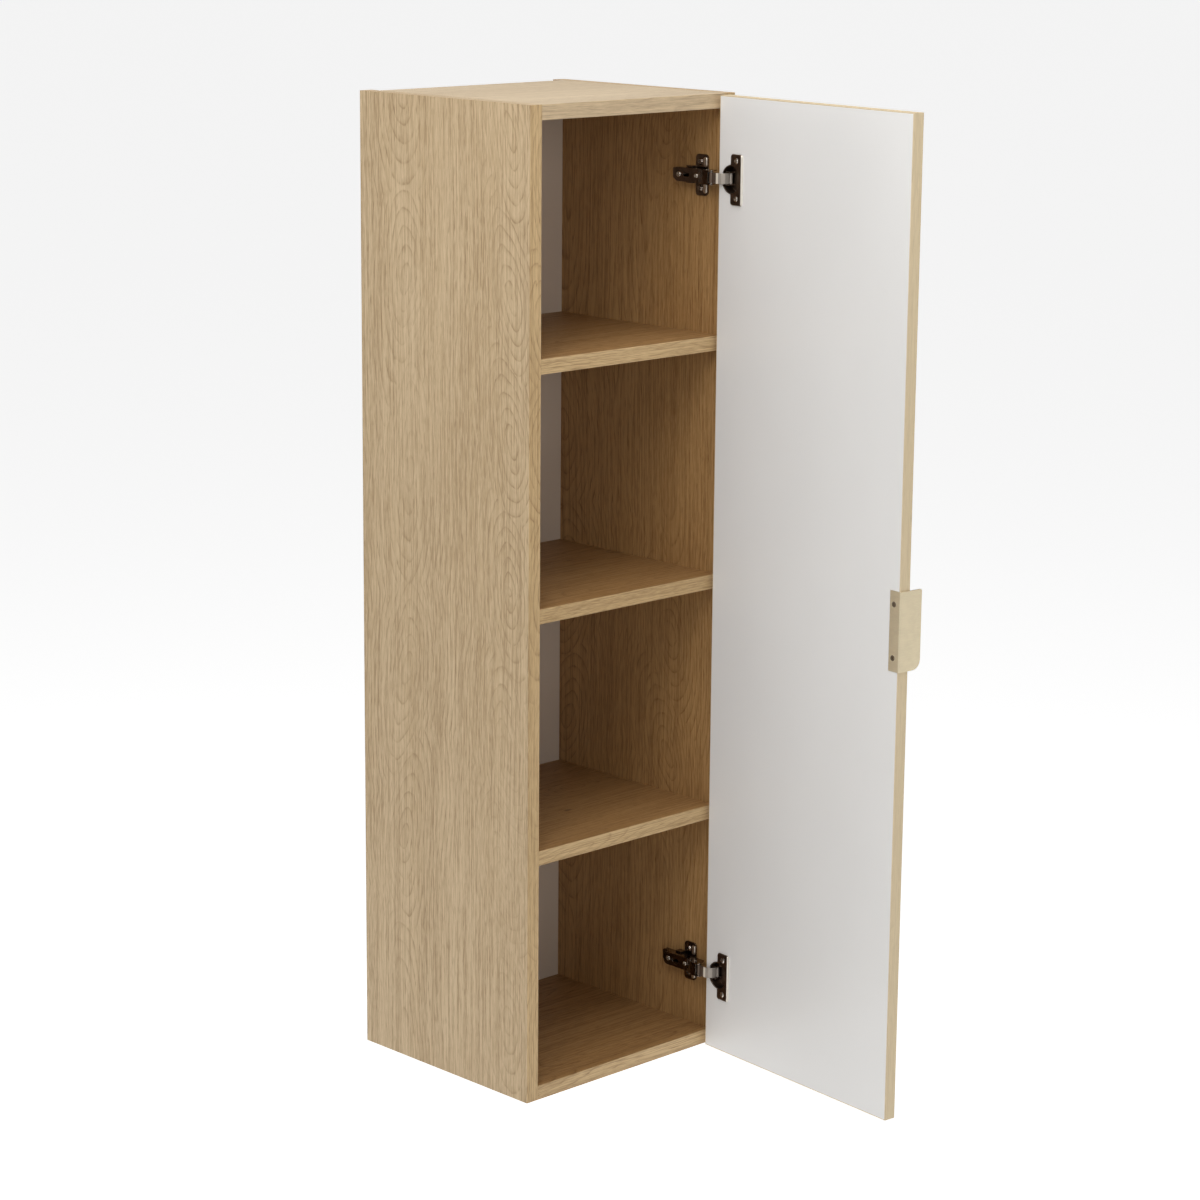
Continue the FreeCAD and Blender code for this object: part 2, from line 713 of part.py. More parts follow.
def wing_rib(z):
    """A domed oval rib pressed into a wing, ahead of its screw."""
    face = width - board
    middle = plate_setback - rib_offset
    across = Vector(1, 0, 0)
    rib = block(face - plate_sheet - rib_height, face, middle - rib_half_width, middle + rib_half_width,
                z - rib_half_height, z + rib_half_height)
    rib = soften(rib, 0.95 * rib_half_width, lambda e: along(e, across))
    crown = face - plate_sheet - rib_height - half
    return rib.makeFillet(rib_round, [e for e in rib.Edges if abs(e.CenterOfMass.x - crown) < touch])


def hinge_plate(z):
    """Cross-shaped plate on the side panel: two screwed wings and a raised rail that holds the arm."""
    face = width - board
    across = Vector(1, 0, 0)
    wing = block(face - plate_sheet, face, plate_setback - wing_front, plate_setback + wing_rear,
                 z - wing_half_height, z + wing_half_height)
    wing = soften(wing, wing_round, lambda e: along(e, across))
    rail = block(face - plate_rail, face, rail_front, rail_rear, z - rail_half, z + rail_half)
    rail = soften(rail, rail_round, lambda e: along(e, across))
    lug = block(face - lug_height, face, lug_place[0], lug_place[1], z - lug_reach, z + lug_reach)
    lug = lug.cut(block(face - lug_height - 1, face - plate_rail, lug_place[0] - 1, lug_place[1] + 1,
                        z - arm_half - fit_gap * 2, z + arm_half + fit_gap * 2))
    ribs = [wing_rib(z - rib_middle), wing_rib(z + rib_middle)]
    body = fuse([wing, rail, lug] + ribs)
    holes = []
    for side in (-1, 1):
        hole_z = z + side * plate_screw_pitch / 2
        holes.append(rod(face - 5, plate_setback, hole_z, plate_screw_radius + fit_gap, 8, (1, 0, 0)))
    return body.cut(holes)


def plate_screws(z):
    """Euro screws through the wings into the side panel."""
    top = width - board - plate_sheet
    y = plate_setback
    solids = []
    for side in (-1, 1):
        screw_z = z + side * plate_screw_pitch / 2
        shank = rod(top, y, screw_z, plate_screw_radius, plate_screw_length + plate_sheet, (1, 0, 0))
        rim = plate_screw_head_radius
        head = cone(top, y, screw_z, rim, dome_top * rim, plate_screw_dome, (-1, 0, 0))
        recess = [block(top - 3, top - 0.6, y - wide, y + wide, screw_z - tall, screw_z + tall)
                  for wide, tall in (plate_recess, plate_recess[::-1])]
        solids.append(fuse([shank, head]).cut(recess))
    return solids


def closing_spring(z):
    """Two coils of wire round the rear arm pin, one each side of the outer link."""
    x, y = outer_link_pivot
    pitch = 2 * spring_wire + 0.12
    coils = []
    for side in (-1, 1):
        start = z + side * (outer_link_half + 0.3 + spring_wire)
        rise = side * pitch
        for turn in range(spring_turns):
            centre = at(x, y, start + turn * rise)
            coils.append(Part.makeTorus(spring_radius, spring_wire, centre, Vector(0, 0, 1)))
    return coils


# ---- files ----

def write(name, shape):
    solid = Part.makeCompound(shape) if isinstance(shape, list) else shape
    solid.exportStep(os.path.join("parts", name + ".step"))
    pieces = solid.Solids
    print(name, len(pieces), round(sum(p.Volume for p in pieces), 1), solid.isValid())


def main():
    os.makedirs("parts", exist_ok=True)
    write("left_side_panel", side_panel(0.0, board, 1.0))
    write("right_side_panel", side_panel(width - board, width - board, -1.0))
    for name, z in level_boards().items():
        write(name, level_board(z))
    write("back_panel", back_panel())
    for name, z in rails().items():
        write("hanging_rail_" + name, hanging_rail(z))
    cams, bolts, dowels = fittings()
    write("cam_locks", cams)
    write("cam_bolts", bolts)
    write("wood_dowels", dowels)
    write("rail_dowels", rail_dowels())
    write("back_screws", back_screws())
    write("door_panel", door_panel())
    write("door_facing", door_facing())
    write("door_edge_bands", door_edge_bands())
    write("edge_pull", edge_pull())
    write("edge_pull_screws", pull_screws())
    for name, z in hinge_heights.items():
        write(name + "_hinge_plate", hinge_plate(z))
        write(name + "_plate_screws", plate_screws(z))
        write(name + "_hinge_arm", hinge_arm(z))
        write(name + "_arm_screws", arm_screws(z))
        write(name + "_arm_pins", arm_pins(z))
        write(name + "_closing_spring", closing_spring(z))
        write(name + "_inner_link", inner_link(z))
        write(name + "_outer_link", outer_link(z))
        write(name + "_hinge_cup", hinge_cup(z))
        write(name + "_cup_pins", cup_pins(z))
        write(name + "_cup_screws", cup_screws(z))
        write(name + "_damper", damper(z))


main()
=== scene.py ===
"""Looks for the tall hanging wall cabinet: oak laminate carcass, white door, dark cup hinges.

Lengths are in metres and colours are linear RGB. A texture is placed by the coordinates of the
shared frame, which each CAD node keeps as its own, so a finish moves with its piece.
"""
import math

import bpy
from mathutils import Matrix, Vector


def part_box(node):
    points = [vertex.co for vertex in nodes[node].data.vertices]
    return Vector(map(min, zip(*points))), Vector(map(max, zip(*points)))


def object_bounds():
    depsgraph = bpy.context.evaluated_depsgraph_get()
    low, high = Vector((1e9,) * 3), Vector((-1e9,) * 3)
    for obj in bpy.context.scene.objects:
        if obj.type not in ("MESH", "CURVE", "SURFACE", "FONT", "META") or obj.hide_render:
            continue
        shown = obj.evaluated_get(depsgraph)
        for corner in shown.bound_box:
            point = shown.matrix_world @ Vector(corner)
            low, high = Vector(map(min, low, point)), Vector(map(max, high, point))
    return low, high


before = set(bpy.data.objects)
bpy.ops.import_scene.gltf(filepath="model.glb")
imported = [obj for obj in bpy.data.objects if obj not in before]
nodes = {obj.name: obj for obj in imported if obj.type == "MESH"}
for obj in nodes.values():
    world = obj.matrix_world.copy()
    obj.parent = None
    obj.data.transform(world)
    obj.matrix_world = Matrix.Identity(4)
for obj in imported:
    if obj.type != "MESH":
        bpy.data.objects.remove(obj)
cad_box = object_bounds()

# ---------------------------------------------------------------- measures of the carcass

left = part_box("left_side_panel")
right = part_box("right_side_panel")
floor_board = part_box("bottom_panel")
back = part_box("back_panel")
front = left[0].y
left_inner_x = left[1].x
right_inner_x = right[0].x
side_rear = right[1].y
board_rear = floor_board[1].y
back_rear = back[1].y
deck = floor_board[1].z
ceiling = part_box("top_panel")[0].z

BAND_DEPTH = 0.0007  # how far the front edge band's colour reaches back
FACE_SKIN = 0.0002  # how far the finish of an inner face reaches into its board
REAR_SKIN = 0.0001  # the same for a rear edge or face
MASK_BLUR = 0.00005  # half the width of the step from one finish to the next

# ---------------------------------------------------------------- node helpers

MIX_FACTOR, MIX_A, MIX_B, MIX_RESULT = 0, 6, 7, 2  # the sockets of a Mix node set to colour


class Graph:
    """Adds nodes to a tree. Inputs are numbers, tuples or the sockets of earlier nodes."""

    def __init__(self, tree):
        self.tree = tree

    def put(self, socket, value):
        if isinstance(value, bpy.types.NodeSocket):
            self.tree.links.new(value, socket)
        elif value is not None:
            socket.default_value = value

    def add(self, kind, inputs=(), **settings):
        node = self.tree.nodes.new("ShaderNode" + kind)
        for key, value in settings.items():
            setattr(node, key, value)
        for key, value in dict(inputs).items():
            self.put(node.inputs[key], value)
        return node

    def math(self, operation, *values):
        node = self.add("Math", operation=operation)
        for socket, value in zip(node.inputs, values):
            self.put(socket, value)
        return node.outputs[0]

    def vector_math(self, operation, a, b):
        node = self.add("VectorMath", operation=operation)
        for socket, value in zip(node.inputs, (a, b)):
            self.put(socket, value)
        return node.outputs

    def stretch(self, vector, scale, shift=(0.0, 0.0, 0.0)):
        """Scales a vector by one number or by one for each axis, then shifts it."""
        if isinstance(scale, float):
            scale = (scale, scale, scale)
        inputs = {"Vector": vector, "Location": shift, "Scale": scale}
        return self.add("Mapping", inputs).outputs[0]

    def noise(self, vector, scale, detail=2.0, rough=0.5, warp=0.0, shift=(0.0, 0.0, 0.0)):
        """Noise whose scale says how many features there are in a metre."""
        inputs = {"Vector": self.stretch(vector, scale, shift), "Scale": 1.0, "Detail": detail,
                  "Roughness": rough, "Distortion": warp}
        return self.add("TexNoise", inputs).outputs["Fac"]

    def cells(self, vector, scale):
        """Voronoi cells, with a random colour for each and the distance to its centre."""
        inputs = {"Vector": self.stretch(vector, scale), "Scale": 1.0}
        return self.add("TexVoronoi", inputs).outputs

    def ramp(self, value, stops):
        """Colour or grey by value: stops are pairs of a place on the ramp and what it has there."""
        node = self.add("ValToRGB", {"Fac": value})
        elements = node.color_ramp.elements
        while len(elements) < len(stops):
            elements.new(0.5)
        for element, (place, colour) in zip(elements, stops):
            element.position = place
            grey = (colour, colour, colour) if isinstance(colour, float) else colour
            element.color = (*grey, 1.0)
        return node.outputs["Color"]

    def fade(self, value, low, high, to_low=0.0, to_high=1.0):
        """Goes smoothly from to_low to to_high while value goes from low to high."""
        inputs = {"Value": value, "From Min": low, "From Max": high,
                  "To Min": to_low, "To Max": to_high}
        return self.add("MapRange", inputs, interpolation_type="SMOOTHSTEP").outputs[0]

    def mix(self, share, a, b, blend="MIX"):
        node = self.add("Mix", data_type="RGBA", blend_type=blend, clamp_factor=True)
        self.put(node.inputs[MIX_FACTOR], share)
        for socket, value in ((MIX_A, a), (MIX_B, b)):
            colour = (*value, 1.0) if isinstance(value, tuple) else value
            self.put(node.inputs[socket], colour)
        return node.outputs[MIX_RESULT]

    def split(self, vector):
        return self.add("SeparateXYZ", {"Vector": vector}).outputs

    def join(self, x, y, z):
        return self.add("CombineXYZ", {"X": x, "Y": y, "Z": z}).outputs[0]

    def place(self):
        return self.add("TexCoord").outputs["Object"]

    def bump(self, height, distance, strength, normal=None):
        inputs = {"Height": height, "Distance": distance, "Strength": strength, "Normal": normal}
        return self.add("Bump", inputs).outputs[0]


def surface(name, **constants):
    """A new material: itself, its graph and its Principled shader with the given constants."""
    material = bpy.data.materials.new(name)
    material.use_nodes = True
    shader = material.node_tree.nodes["Principled BSDF"]
    for key, value in constants.items():
        shader.inputs[key.replace("_", " ")].default_value = value
    return material, Graph(material.node_tree), shader


def dress(g, shader, colour, rough, normal):
    """Feeds a Principled shader with what varies over the surface."""
    for name, value in (("Base Color", colour), ("Roughness", rough), ("Normal", normal)):
        g.put(shader.inputs[name], value)


def scaled(colour, factor):
    return tuple(min(1.0, factor * channel) for channel in colour)


# ---------------------------------------------------------------- masks


def beyond(axis, start, sign=1.0):
    """Mask of the points whose coordinate passes start in the direction of sign."""
    def mask(g):
        value = g.math("MULTIPLY", g.split(g.place())["XYZ".index(axis)], sign)
        return g.fade(value, sign * start - MASK_BLUR, sign * start + MASK_BLUR)
    return mask


def both(*masks):
    """Mask of the points that lie in all the given ones."""
    def mask(g):
        value = masks[0](g)
        for other in masks[1:]:
            value = g.math("MULTIPLY", value, other(g))
        return value
    return mask


edge_band = beyond("Y", front + BAND_DEPTH, -1.0)
behind_band = beyond("Y", front + BAND_DEPTH)


def inner_face(axis, place, sign=1.0):
    """Mask of a board's face at place, which looks into the cabinet, behind the edge band."""
    return both(beyond(axis, place - sign * FACE_SKIN, sign), behind_band)


# ---------------------------------------------------------------- oak laminate

OAK_LIGHT = (0.668, 0.508, 0.312)
OAK_DEEP = (0.530, 0.380, 0.208)
OAK_LINE = (0.330, 0.212, 0.100)
OAK_PORE = (0.235, 0.142, 0.062)
OAK_KNOT = (0.120, 0.066, 0.030)
OAK_SPECULAR = 0.42
OAK_COAT = 0.06
OAK_COAT_ROUGH = 0.35
OAK_RELIEF = 0.00005  # depth of the bumps
OAK_RELIEF_STRENGTH = 0.5
BAND_TINT = (0.92, 0.86, 0.73)  # multiplies the laminate on a front edge
INNER_PAINTED_SHADE = (0.73, 0.57, 0.38)  # painted shade: multiplies it on an upright face inside the cabinet, darker and browner as the dim interior
LEVEL_PAINTED_SHADE = (0.60, 0.45, 0.29)  # painted shade as well, on a shelf or the bottom

# What the noises of the decor look like. A scale runs across the grain, into the board and along.
DECOR = {
    "sway": {"scale": (3.4, 3.4, 1.3)},
    "wander": {"scale": (22.0, 22.0, 5.0)},
    "tremor": {"scale": (110.0, 110.0, 34.0), "detail": 3.0, "rough": 0.6},
    "lean": {"scale": (2.6, 2.6, 1.1), "detail": 1.0, "shift": (4.1, 1.7, 0.3)},
    "broken": {"scale": (190.0, 190.0, 30.0)},
    "bold": {"scale": (7.0, 7.0, 1.2), "shift": (9.0, 2.0, 5.0)},
    "streak": {"scale": (240.0, 240.0, 1.8), "rough": 0.6},
    "fibre": {"scale": (520.0, 520.0, 5.5), "rough": 0.65},
    "hair": {"scale": (1000.0, 1000.0, 60.0), "rough": 0.6},
    "pore": {"scale": (800.0, 800.0, 60.0), "detail": 1.0},
    "tone": {"scale": (11.0, 11.0, 1.3), "detail": 3.0, "rough": 0.55, "shift": (1.0, 7.0, 2.0)},
}

# Knots sit in some of the cells, by the cell's random number.
KNOT_CELLS = (7.0, 7.0, 3.1)
KNOT_CHANCE = (0.52, 0.54)
KNOT_FIELD = (0.02, 0.26, 1.0, 0.0)  # how the push on the rings fades, in cells
KNOT_EYE = (0.006, 0.030, 0.85, 0.0)  # how the dark eye fades

# Growth rings: how far each thing moves them sideways, and where their piths lie.
SWAY_REACH = 0.075
WANDER_REACH = 0.007
TREMOR_REACH = 0.0034
KNOT_REACH = 0.010
PITH_HALF_SPACING = 0.092
PITH_DEPTH = 0.036
PITH_SLOPE = 0.26
PITH_LEAN = 0.50
PITH_WANDER = 0.014
RING_WIDTH = 0.0070
RING_PROFILE = ((0.0, 0.10), (0.08, 0.0), (0.55, 0.04), (0.80, 0.35), (0.93, 1.0), (1.0, 0.10))
BROKEN_LINES = (0.34, 0.62, 0.20, 1.0)
BOLD_LINES = (0.34, 0.56, 0.30, 1.0)

# Fibres and pores: ranges of the noise they show in, and their share of the colour.
FIBRE_SWAY = 0.030
TONE_RANGE = (0.28, 0.74)
STREAK_SHOW = (0.46, 0.66, 0.0, 0.48)
FIBRE_SHOW = (0.45, 0.64, 0.0, 0.74)
HAIR_SHOW = (0.58, 0.36, 0.0, 0.62)
PORE_SHOW = (0.56, 0.68)
LINE_SHARE = 0.90
PORE_SHARE = 0.80
PORES_IN_LINES = 0.65
PORES_BETWEEN = 0.35

# Sheen and relief of the decor.
FIBRE_ROUGH = (0.3, 0.7, 0.44, 0.54)
PORE_ROUGH = 0.18
FIBRE_HEIGHT = 0.30
LINE_HEIGHT = 0.35


def knots(g, entry):
    """How strongly the rings are pushed aside by knots, and the mask of the knots' dark eyes."""
    cell = g.cells(entry, KNOT_CELLS)
    chosen = g.fade(g.split(cell["Color"])[0], *KNOT_CHANCE)
    field = g.math("MULTIPLY", g.fade(cell["Distance"], *KNOT_FIELD), chosen)
    eye = g.math("MULTIPLY", g.fade(cell["Distance"], *KNOT_EYE), chosen)
    return field, eye


def growth_lines(g, entry, sway, knot_field):
    """Dark lines of growth rings, round piths that lie behind the face and lean out of it."""
    wander = g.noise(entry, **DECOR["wander"])
    tremor = g.noise(entry, **DECOR["tremor"])
    across, _, along = g.split(entry)
    for bend, reach in ((sway, SWAY_REACH), (wander, WANDER_REACH), (tremor, TREMOR_REACH),
                        (knot_field, KNOT_REACH)):
        across = g.math("MULTIPLY_ADD", bend, reach, across)
    folded = g.math("PINGPONG", across, PITH_HALF_SPACING)
    beside = g.math("SUBTRACT", PITH_HALF_SPACING, folded)
    lean = g.noise(entry, **DECOR["lean"])
    dip = g.math("MULTIPLY_ADD", lean, PITH_LEAN, g.math("MULTIPLY", along, PITH_SLOPE))
    behind = g.math("MULTIPLY_ADD", wander, PITH_WANDER, g.math("PINGPONG", dip, PITH_DEPTH))
    square = g.math("ADD", g.math("MULTIPLY", beside, beside), g.math("MULTIPLY", behind, behind))
    ring = g.math("FRACT", g.math("DIVIDE", g.math("SQRT", square), RING_WIDTH))
    line = g.ramp(ring, RING_PROFILE)
    broken = g.fade(g.noise(entry, **DECOR["broken"]), *BROKEN_LINES)
    bold = g.fade(g.noise(entry, **DECOR["bold"]), *BOLD_LINES)
    return g.math("MULTIPLY", g.math("MULTIPLY", line, broken), bold)


def oak_group():
    """Oak decor in metres: input X runs across the grain, Y into the board, Z along the grain."""
    tree = bpy.data.node_groups.new("oak_decor", "ShaderNodeTree")
    tree.interface.new_socket("Vector", in_out="INPUT", socket_type="NodeSocketVector")
    for name, kind in (("Color", "NodeSocketColor"), ("Roughness", "NodeSocketFloat"),
                       ("Height", "NodeSocketFloat")):
        tree.interface.new_socket(name, in_out="OUTPUT", socket_type=kind)
    g = Graph(tree)
    entry = tree.nodes.new("NodeGroupInput").outputs[0]
    leave = tree.nodes.new("NodeGroupOutput")

    knot_field, knot_eye = knots(g, entry)
    sway = g.noise(entry, **DECOR["sway"])
    line = growth_lines(g, entry, sway, knot_field)

    # fibres and pores: fine streaks and short dark dashes along the grain
    x, y, z = g.split(entry)
    straight = g.join(g.math("MULTIPLY_ADD", sway, FIBRE_SWAY, x), y, z)
    streak = g.noise(straight, **DECOR["streak"])
    fibre = g.noise(straight, **DECOR["fibre"])
    hair = g.noise(entry, **DECOR["hair"])
    crowd = g.math("MULTIPLY_ADD", line, PORES_IN_LINES, PORES_BETWEEN)
    pore = g.math("MULTIPLY", g.fade(g.noise(entry, **DECOR["pore"]), *PORE_SHOW), crowd)

    tone = g.noise(entry, **DECOR["tone"])
    colour = g.mix(g.fade(tone, *TONE_RANGE), OAK_DEEP, OAK_LIGHT)
    for share, tint in ((g.fade(streak, *STREAK_SHOW), OAK_LINE),
                        (g.fade(fibre, *FIBRE_SHOW), OAK_LINE),
                        (g.fade(hair, *HAIR_SHOW), OAK_LIGHT),
                        (g.math("MULTIPLY", line, LINE_SHARE), OAK_LINE),
                        (g.math("MULTIPLY", pore, PORE_SHARE), OAK_PORE),
                        (knot_eye, OAK_KNOT)):
        colour = g.mix(share, colour, tint)

    rough = g.math("MULTIPLY_ADD", pore, PORE_ROUGH, g.fade(fibre, *FIBRE_ROUGH))
    height = g.math("SUBTRACT", g.math("MULTIPLY", fibre, FIBRE_HEIGHT),
                    g.math("MULTIPLY_ADD", line, LINE_HEIGHT, pore))
    for name, value in (("Color", colour), ("Roughness", rough), ("Height", height)):
        g.put(leave.inputs[name], value)
    return tree


OAK = oak_group()

# Pressed wood flakes, a few millimetres long, under a finer dust.
CHIP_CELLS = (420.0, 900.0, 620.0)
CHIP_COLOURS = ((0.0, (0.30, 0.20, 0.11)), (0.45, (0.47, 0.34, 0.20)), (1.0, (0.62, 0.48, 0.31)))
CHIP_DUST = (0.33, 0.23, 0.13)
CHIP_DUST_SCALE = 1500.0
CHIP_DUST_SHOW = (0.4, 0.7, 0.0, 0.45)
CHIP_ROUGHER = 0.35  # what an uncovered edge adds to the laminate's roughness
CHIP_RELIEF = 2.0  # and how much higher its bumps are


def chipboard(g):
    """Colour and height of raw chipboard."""
    place = g.place()
    flake = g.split(g.cells(place, CHIP_CELLS)["Color"])[0]
    dust = g.noise(place, CHIP_DUST_SCALE)
    colour = g.mix(g.fade(dust, *CHIP_DUST_SHOW), g.ramp(flake, CHIP_COLOURS), CHIP_DUST)
    return colour, flake


def oak_decor(g, grain, shift):
    """The oak decor's outputs, with its grain along the frame's axis 'X' or 'Z'."""
    x, y, z = g.split(g.place())
    into, along = (x, z) if grain == "Z" else (z, x)
    turned = g.join(g.math("ADD", y, into), into, along)
    group = g.add("Group")
    group.node_tree = OAK
    g.put(group.inputs["Vector"], g.vector_math("ADD", turned, shift)["Vector"])
    return group.outputs


def oak(name, grain, shift, inner=None, raw=None, banded=True, tint=None, share=0.0,
        shade=INNER_PAINTED_SHADE):
    """Oak laminate board. shift says where in the decor it is cut from. inner and raw are masks:
    faces inside the cabinet, which the last argument darkens and browns as painted shade, and
    uncovered chipboard edges. A banded board has a yellower front edge. share is how far its
    colours are drawn to tint."""
    material, g, shader = surface(name, Specular_IOR_Level=OAK_SPECULAR, Coat_Weight=OAK_COAT,
                                  Coat_Roughness=OAK_COAT_ROUGH)
    decor = oak_decor(g, grain, shift)
    colour, rough, height = decor["Color"], decor["Roughness"], decor["Height"]
    if banded:
        band = g.mix(1.0, colour, BAND_TINT, "MULTIPLY")
        colour = g.mix(edge_band(g), colour, band)
    if tint is not None:
        colour = g.mix(share, colour, tint)
    # Painted shade: faces inside the cabinet are multiplied darker and browner, standing in for the
    # interior's shade.
    if inner is not None:
        brown = g.mix(1.0, colour, shade, "MULTIPLY")
        colour = g.mix(inner(g), colour, brown)
    if raw is not None:
        chips, chip_height = chipboard(g)
        mask = raw(g)
        colour = g.mix(mask, colour, chips)
        rough = g.math("MULTIPLY_ADD", mask, CHIP_ROUGHER, rough)
        rise = g.math("MULTIPLY", mask, CHIP_RELIEF)
        height = g.math("MULTIPLY_ADD", rise, chip_height, height)
    dress(g, shader, colour, rough, g.bump(height, OAK_RELIEF, OAK_RELIEF_STRENGTH))
    return material


# ---------------------------------------------------------------- other finishes

LACQUER_SPECULAR = 0.45
LACQUER_CLOUD = {"scale": (3.0, 3.0, 2.0), "detail": 3.0}
LACQUER_CLOUD_RANGE = (0.25, 0.75)
LACQUER_DIM = 0.94  # how bright the clouds' darker part is
LACQUER_SPECK_SCALE = 900.0
LACQUER_SPECK_SHOW = (0.60, 0.80, 0.0, 0.10)
LACQUER_SPECK = 0.8  # how bright a speck is
LACQUER_WIPE = {"scale": (14.0, 14.0, 9.0), "detail": 4.0}
LACQUER_ROUGH = (0.3, 0.7, 0.30, 0.40)
LACQUER_PEEL = {"scale": 420.0, "detail": 1.0}
LACQUER_RELIEF = 0.00003
LACQUER_RELIEF_STRENGTH = 0.35
HARDBOARD = {"scale": (260.0, 260.0, 190.0), "detail": 5.0, "rough": 0.7, "warp": 0.6}
HARDBOARD_COLOURS = ((0.30, (0.20, 0.115, 0.060)), (0.52, (0.31, 0.19, 0.105)),
                     (0.75, (0.42, 0.28, 0.165)))
HARDBOARD_ROUGHER = 0.40


def white_lacquer(name, colour, rear=None):
    """Smooth white melamine with a fine orange peel and a faintly uneven sheen. rear is the mask
    of an uncoated face of brown hardboard."""
    material, g, shader = surface(name, Specular_IOR_Level=LACQUER_SPECULAR)
    place = g.place()
    cloud = g.fade(g.noise(place, **LACQUER_CLOUD), *LACQUER_CLOUD_RANGE)
    speck = g.fade(g.noise(place, LACQUER_SPECK_SCALE), *LACQUER_SPECK_SHOW)
    white = g.mix(cloud, scaled(colour, LACQUER_DIM), colour)
    white = g.mix(speck, white, scaled(colour, LACQUER_SPECK))
    rough = g.fade(g.noise(place, **LACQUER_WIPE), *LACQUER_ROUGH)
    if rear is not None:
        brown = g.ramp(g.noise(place, **HARDBOARD), HARDBOARD_COLOURS)
        mask = rear(g)
        white = g.mix(mask, white, brown)
        rough = g.math("MULTIPLY_ADD", mask, HARDBOARD_ROUGHER, rough)
    peel = g.noise(place, **LACQUER_PEEL)
    dress(g, shader, white, rough, g.bump(peel, LACQUER_RELIEF, LACQUER_RELIEF_STRENGTH))
    return material


RAIL_SPECULAR = 0.25
RAIL_ROUGH = (0.0, 1.0, 0.75, 0.92)
RAIL_RELIEF = 0.0002
RAIL_RELIEF_STRENGTH = 0.6


def raw_board():
    """Chipboard without laminate, for the hanging rails."""
    material, g, shader = surface("raw_chipboard", Specular_IOR_Level=RAIL_SPECULAR)
    colour, flake = chipboard(g)
    dress(g, shader, colour, g.fade(flake, *RAIL_ROUGH),
          g.bump(flake, RAIL_RELIEF, RAIL_RELIEF_STRENGTH))
    return material


BEECH_SPECULAR = 0.3
BEECH_STREAK = {"scale": (40.0, 700.0, 700.0), "detail": 3.0}
BEECH_COLOURS = ((0.3, (0.50, 0.31, 0.17)), (0.7, (0.69, 0.47, 0.29)))
BEECH_ROUGH = (0.3, 0.7, 0.5, 0.65)
BEECH_RELIEF = 0.0001
BEECH_RELIEF_STRENGTH = 0.5


def beech():
    """Turned beech, its grain along X, for the dowels."""
    material, g, shader = surface("beech", Specular_IOR_Level=BEECH_SPECULAR)
    streak = g.noise(g.place(), **BEECH_STREAK)
    dress(g, shader, g.ramp(streak, BEECH_COLOURS), g.fade(streak, *BEECH_ROUGH),
          g.bump(streak, BEECH_RELIEF, BEECH_RELIEF_STRENGTH))
    return material


PLASTIC_SPECULAR = 0.5
PLASTIC_GRAIN_SCALE = 1400.0
PLASTIC_RANGE = (0.3, 0.7)
PLASTIC_LIGHTER = 1.3
PLASTIC_ROUGH = (0.3, 0.7, 0.38, 0.52)
PLASTIC_RELIEF = 0.00005
PLASTIC_RELIEF_STRENGTH = 0.4


def plastic(name, colour):
    """Moulded plastic with a fine grain."""
    material, g, shader = surface(name, Specular_IOR_Level=PLASTIC_SPECULAR)
    grain = g.noise(g.place(), PLASTIC_GRAIN_SCALE)
    tint = g.mix(g.fade(grain, *PLASTIC_RANGE), colour, scaled(colour, PLASTIC_LIGHTER))
    dress(g, shader, tint, g.fade(grain, *PLASTIC_ROUGH),
          g.bump(grain, PLASTIC_RELIEF, PLASTIC_RELIEF_STRENGTH))
    return material


# pale colour of the highlights painted on hinge ribs, cup rims and the link's bend
PAINTED_HIGHLIGHT_COLOUR = (0.90, 0.85, 0.76)
BLACK_NICKEL = (0.20, 0.15, 0.115)
METAL_GRAIN_SCALE = 900.0
METAL_GLINT = 1.25  # how much brighter the finest grain is
METAL_GLINT_SHOW = (0.45, 0.75, 0.0, 0.30)
METAL_STAIN = {"scale": 90.0, "detail": 3.0}
METAL_STAIN_RANGE = (0.30, 0.68)
METAL_SHEEN_RANGE = (0.30, 0.72)
METAL_RELIEF = 0.00002
METAL_RELIEF_STRENGTH = 0.35
BEVEL_SAMPLES = 4
WEAR_BY_EDGE = (0.995, 0.90, 0.0, 0.8)  # by how far the softened normal turns from the face's own
WEAR_BY_STAIN = (0.35, 0.60, 0.35, 1.0)
PAINTED_HIGHLIGHT_SHARE = 0.9
PAINTED_HIGHLIGHT_ROUGHER = 0.16


